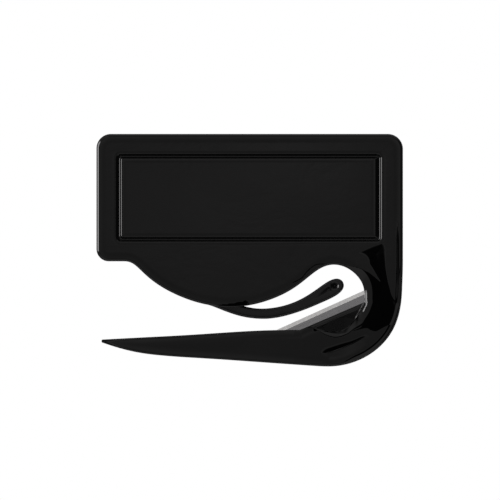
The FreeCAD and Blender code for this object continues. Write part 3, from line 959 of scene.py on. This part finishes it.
def plastic(name, tint, rough, orange=1.0, seed=0.0):
    """Glossy injection-moulded black plastic: faint flow mottling, hairline scratches, specks."""
    m, k = new_material(name)
    out = k.add("ShaderNodeOutputMaterial")
    bs = k.add("ShaderNodeBsdfPrincipled")
    co = k.add("ShaderNodeTexCoord").outputs["Object"]
    co = k.mapping(co, loc=(seed, seed * 0.7, seed * 1.3))
    flow = k.noise(k.mapping(co, scale=(0.6, 1.0, 1.0)), 70.0, 4.0, 0.55, 0.6)
    fine = k.noise(co, 2600.0, 2.0, 0.5)
    # hairline scratches: two stretched noises, thresholded high
    s1 = k.noise(k.mapping(co, scale=(1.0, 22.0, 1.0), rot=(0, 0, 0.35)), 420.0, 2.0, 0.6)
    s2 = k.noise(k.mapping(co, scale=(26.0, 1.0, 1.0), rot=(0, 0, -0.2)), 360.0, 2.0, 0.6)
    scr = k.math("MAXIMUM", k.smooth(s1, 0.70, 0.80), k.smooth(s2, 0.71, 0.81))
    dust = k.smooth(k.noise(co, 1500.0, 1.0, 0.5), 0.77, 0.83)
    # colour: nearly black, a touch greyer where it is scuffed
    base = k.mix_rgb(k.smooth(flow, 0.35, 0.65), (tint[0] * 0.75, tint[1] * 0.75, tint[2] * 0.78, 1),
                     (tint[0] * 1.2, tint[1] * 1.2, tint[2] * 1.2, 1))
    scuff = k.math("MULTIPLY", k.math("MAXIMUM", scr, dust), 0.5)
    base = k.mix_rgb(scuff, base, (tint[0] * 3.2, tint[1] * 3.2, tint[2] * 3.2, 1))
    k.put(bs.inputs["Base Color"], base)
    r = k.smooth(flow, 0.3, 0.7, rough * 0.8, rough * 1.25)
    r = k.math("ADD", r, k.math("MULTIPLY", scr, 0.10))
    r = k.math("ADD", r, k.math("MULTIPLY", dust, 0.12))
    k.put(bs.inputs["Roughness"], r)
    bs.inputs["IOR"].default_value = 1.5
    b1 = k.bump(flow, 0.006 * orange, 0.002)
    b2 = k.bump(fine, 0.010 * orange, 0.00005, b1)
    b3 = k.bump(k.math("SUBTRACT", 1.0, scr), 0.02, 0.00004, b2)
    k.put(bs.inputs["Normal"], b3)
    k.l.new(bs.outputs[0], out.inputs[0])
    return m


def steel(name):
    """Ground blade steel: a smooth flat, and a bevel with marks straight across the edge, its colour painted brighter
    than the flat as a painted highlight.
    """
    m, k = new_material(name)
    out = k.add("ShaderNodeOutputMaterial")
    bs = k.add("ShaderNodeBsdfPrincipled")
    co = k.add("ShaderNodeTexCoord").outputs["Object"]
    # frame of the blade: x along the cutting edge, y across it, edge at y = 0
    loc = k.mapping(co, loc=(-0.01972, 0.01583, 0.0))
    along = k.mapping(loc, rot=(0, 0, -math.radians(24.3)))
    sp = k.add("ShaderNodeSeparateXYZ")
    k.put(sp.inputs[0], along)
    bev = k.smooth(sp.outputs[1], -0.00108, -0.00098)
    grind = k.noise(k.mapping(along, scale=(1.0, 0.02, 1.0)), 4200.0, 3.0, 0.55)
    coarse = k.noise(k.mapping(along, scale=(1.0, 0.05, 1.0)), 1100.0, 2.0, 0.5)
    rolled = k.noise(k.mapping(along, scale=(0.04, 1.0, 1.0)), 2400.0, 3.0, 0.5)
    cloud = k.noise(co, 220.0, 3.0, 0.5)
    marks = k.math("ADD", k.math("MULTIPLY", grind, 0.55), k.math("MULTIPLY", coarse, 0.45))
    # bevel colour set far brighter than the flat steel: a painted highlight; the grind marks in it are real
    bevel_painted_highlight_col = k.mix_rgb(k.smooth(marks, 0.36, 0.64), (0.80, 0.79, 0.785, 1), (0.97, 0.96, 0.95, 1))
    flat_col = k.mix_rgb(k.smooth(rolled, 0.35, 0.65), (0.60, 0.59, 0.605, 1), (0.68, 0.67, 0.685, 1))
    flat_col = k.mix_rgb(k.math("MULTIPLY", k.smooth(cloud, 0.45, 0.75), 0.3), flat_col, (0.52, 0.51, 0.53, 1))
    k.put(bs.inputs["Base Color"], k.mix_rgb(bev, flat_col, bevel_painted_highlight_col))
    bs.inputs["Metallic"].default_value = 1.0
    r_flat = k.smooth(rolled, 0.3, 0.7, 0.10, 0.16)
    r_bev = k.smooth(marks, 0.3, 0.7, 0.20, 0.30)
    mr = k.add("ShaderNodeMix", data_type="FLOAT")
    k.put(mr.inputs[0], bev)
    k.put(mr.inputs[2], r_flat)
    k.put(mr.inputs[3], r_bev)
    k.put(bs.inputs["Roughness"], mr.outputs[0])
    hgt = k.math("ADD", k.math("MULTIPLY", k.math("MULTIPLY", marks, bev), 1.0), k.math("MULTIPLY", rolled, 0.08))
    k.put(bs.inputs["Normal"], k.bump(hgt, 0.06, 0.00005))
    k.l.new(bs.outputs[0], out.inputs[0])
    return m


MAT_SHELL = plastic("shell_black_plastic", (0.0008, 0.0008, 0.00085), 0.045)
MAT_FINGER = plastic("finger_black_plastic", (0.0045, 0.0045, 0.0047), 0.10, 1.4, 0.31)
MAT_SATIN = plastic("shell_black_satin", (0.0009, 0.0009, 0.00095), 0.24, 1.6, 0.12)
MAT_STEEL = steel("blade_ground_steel")


def set_material(ob, mat):
    ob.data.materials.clear()
    ob.data.materials.append(mat)


front_ob, info = shell("front_cover", True)
rear_ob, info2 = shell("rear_cover", False)
finger_ob = finger()
print("meshes", info, info2, len(finger_ob.data.vertices))
set_material(front_ob, MAT_SHELL)
set_material(rear_ob, MAT_SHELL)
for ob in (front_ob, rear_ob):
    # the pocket's floor isn't polished
    ob.data.materials.append(MAT_SATIN)
    me = ob.data
    cen = np.empty(len(me.polygons) * 3)
    me.polygons.foreach_get("center", cen)
    cen = cen.reshape(-1, 3) / MM
    c2 = cen[:, :2]
    sel = (c2[:, 0] > 15) & (c2[:, 0] < 31) & (c2[:, 1] < -11) & (c2[:, 1] > -23.2)
    idx = np.where(sel)[0]
    inn = inside(c2[idx], POCKET)
    dist_s = np.hypot(*(c2[idx] - nearest(c2[idx], FINE["slot"])).T)
    dist_a = np.hypot(*(c2[idx] - nearest(c2[idx], FINE["pocket"])).T)
    zz = np.abs(cen[idx, 2] - THICK / 2)
    ok = inn & (dist_s > 0.85) & (dist_a > 0.22) & (zz > 0.3)
    mi = np.zeros(len(me.polygons), int)
    mi[idx[ok]] = 1
    me.polygons.foreach_set("material_index", mi)
set_material(finger_ob, MAT_FINGER)
for node, mat in (("front_shell", MAT_SHELL), ("rear_shell", MAT_SHELL),
                  ("guide_finger", MAT_FINGER), ("blade", MAT_STEEL)):
    set_material(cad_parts[node], mat)

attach(front_ob, "body")
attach(rear_ob, "body")
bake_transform(finger_ob)
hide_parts("front_shell")
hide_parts("rear_shell")
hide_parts("guide_finger")


# ======================================================================================
# Floor, light, camera
# ======================================================================================
def make_floor():
    bpy.ops.object.select_all(action="DESELECT")
    me = bpy.data.meshes.new("floor")
    n, s = 24, 6.0
    vs = [(s * (i / n * 2 - 1), s * (j / n * 2 - 1), -0.00015) for j in range(n + 1) for i in range(n + 1)]
    fs = [(j * (n + 1) + i, j * (n + 1) + i + 1, (j + 1) * (n + 1) + i + 1, (j + 1) * (n + 1) + i)
          for j in range(n) for i in range(n)]
    me.from_pydata(vs, [], fs)
    me.update()
    ob = bpy.data.objects.new("floor", me)
    bpy.context.collection.objects.link(ob)
    m, k = new_material("floor_white")
    out = k.add("ShaderNodeOutputMaterial")
    lp = k.add("ShaderNodeLightPath")
    geo = k.add("ShaderNodeNewGeometry")
    seen = k.add("ShaderNodeEmission")
    seen.inputs[0].default_value = (1, 1, 1, 1)
    seen.inputs[1].default_value = 1.0
    refl = k.add("ShaderNodeEmission")
    refl.inputs[0].default_value = (0.97, 0.98, 1, 1)
    refl.inputs[1].default_value = 0.30
    mix = k.add("ShaderNodeMixShader")
    k.l.new(lp.outputs["Is Camera Ray"], mix.inputs[0])
    k.l.new(refl.outputs[0], mix.inputs[1])
    k.l.new(seen.outputs[0], mix.inputs[2])
    tr = k.add("ShaderNodeBsdfTransparent")
    mix2 = k.add("ShaderNodeMixShader")
    k.l.new(geo.outputs["Backfacing"], mix2.inputs[0])
    k.l.new(mix.outputs[0], mix2.inputs[1])
    k.l.new(tr.outputs[0], mix2.inputs[2])
    k.l.new(mix2.outputs[0], out.inputs[0])
    me.materials.append(m)
    return ob


def make_world():
    w = bpy.data.worlds.new("studio")
    bpy.context.scene.world = w
    w.use_nodes = True
    t = w.node_tree
    t.nodes.clear()
    k = Nodes(t)
    out = k.add("ShaderNodeOutputWorld")
    d = k.add("ShaderNodeTexCoord").outputs["Generated"]
    sp = k.add("ShaderNodeSeparateXYZ")
    k.put(sp.inputs[0], d)
    x, y, z = sp.outputs
    phi = k.math("MULTIPLY", k.math("ARCCOSINE", k.math("MINIMUM", z, 1.0)), 180 / math.pi)
    rho = k.math("MAXIMUM", k.math("SQRT", k.math("ADD", k.math("MULTIPLY", x, x), k.math("MULTIPLY", y, y))), 1e-5)
    nx = k.math("DIVIDE", x, rho)
    ny = k.math("DIVIDE", y, rho)
    # overhead card: grey, a little brighter towards its rim, with a soft bright patch
    ends = k.smooth(k.math("ABSOLUTE", ny), 0.45, 0.8)
    card = k.smooth(phi, 0.9, 2.9, 0.0, 1.0)
    card = k.math("MULTIPLY", card, k.smooth(ny, -0.7, 0.7, 0.12, 0.23))
    card = k.math("ADD", card, 0.198)
    for cx, cy, sx, sy, amount in ((-0.0040, 0.0030, 0.0120, 0.0066, 0.105), (0.0034, 0.0074, 0.0046, 0.0024, 0.20)):
        px = k.math("DIVIDE", k.math("SUBTRACT", x, cx), sx)
        py = k.math("DIVIDE", k.math("SUBTRACT", y, cy), sy)
        r2 = k.math("ADD", k.math("MULTIPLY", px, px), k.math("MULTIPLY", py, py))
        patch = k.math("EXPONENT", k.math("MULTIPLY", r2, -1.0))
        card = k.math("ADD", card, k.math("MULTIPLY", patch, amount))
    card = k.math("MULTIPLY", card, k.smooth(phi, 2.7, 4.7, 1.0, 0.0))
    # dark ring round it, then grey, darker on the right
    base = k.math("MULTIPLY", k.smooth(phi, 16.0, 20.0), k.math("ADD", 0.26, k.math("MULTIPLY", ends, 0.15)))
    east = k.math("MULTIPLY", k.smooth(nx, 0.55, 0.9), k.smooth(phi, 74.0, 84.0, 1.0, 0.0))
    east = k.math("MULTIPLY", east, k.smooth(phi, 30.0, 40.0))
    base = k.math("MULTIPLY", base, k.math("SUBTRACT", 1.0, k.math("MULTIPLY", east, 0.9)))
    nw = k.math("MULTIPLY", k.math("MULTIPLY", k.smooth(ny, 0.2, 0.6), k.smooth(nx, -0.15, -0.32)), 0.07)
    nw = k.math("MULTIPLY", nw, k.math("MULTIPLY", k.smooth(phi, 20.5, 23.5), k.smooth(phi, 30.0, 36.0, 1.0, 0.0)))
    bev = k.math("MULTIPLY", k.math("MULTIPLY", k.smooth(nx, -0.32, -0.36), k.smooth(nx, -0.47, -0.53, 1.0, 0.0)),
                 k.math("MULTIPLY", k.smooth(ny, 0.5, 0.7), 0.80))
    bev = k.math("MULTIPLY", bev, k.math("MULTIPLY", k.smooth(phi, 26.4, 27.8), k.smooth(phi, 31.0, 34.0, 1.0, 0.0)))
    nw = k.math("ADD", nw, bev)
    # large softbox on the left, brightest at its top
    side = k.math("MULTIPLY", k.smooth(nx, -0.80, -0.92), k.smooth(ny, -0.27, -0.13))
    west = k.math("MULTIPLY", k.smooth(phi, 62.0, 76.0, 6.8, 3.6),
                  k.math("MULTIPLY", k.smooth(phi, 38.0, 45.0), k.smooth(phi, 79.0, 85.0, 1.0, 0.05)))
    west = k.math("MULTIPLY", west, side)
    low = k.math("MULTIPLY", k.smooth(phi, 80.0, 90.0), 0.12)
    s = k.math("ADD", k.math("ADD", card, base), k.math("ADD", k.math("ADD", nw, west), low))
    s = k.math("ADD", s, 0.006)
    bg = k.add("ShaderNodeBackground")
    bg.inputs[0].default_value = (1.0, 0.99, 0.985, 1)
    k.put(bg.inputs[1], s)
    white = k.add("ShaderNodeBackground")
    white.inputs[0].default_value = (1, 1, 1, 1)
    white.inputs[1].default_value = 1.0
    mix = k.add("ShaderNodeMixShader")
    lp = k.add("ShaderNodeLightPath")
    k.l.new(lp.outputs["Is Camera Ray"], mix.inputs[0])
    k.l.new(bg.outputs[0], mix.inputs[1])
    k.l.new(white.outputs[0], mix.inputs[2])
    k.l.new(mix.outputs[0], out.inputs[0])


floor_ob = make_floor()
make_world()

cam_data = bpy.data.cameras.new("cam")
cam_data.type = "PERSP"
cam_data.sensor_width = 36.0
CAM_D = 4.0
cam_data.lens = 36.0 * CAM_D / 0.1347 * 1.0008
cam_data.clip_start = 0.05
cam_data.clip_end = 30.0
cam = bpy.data.objects.new("cam", cam_data)
bpy.context.collection.objects.link(cam)
cam.location = (0.00008, 0.00006, 0.0024 + CAM_D)
cam.rotation_euler = (0, 0, 0)
bpy.context.scene.camera = cam
bpy.context.scene.view_settings.view_transform = "Standard"
bpy.context.scene.view_settings.look = "None"
bpy.context.scene.view_settings.exposure = 0.0
bpy.context.scene.view_settings.gamma = 1.0

bpy.context.view_layer.update()
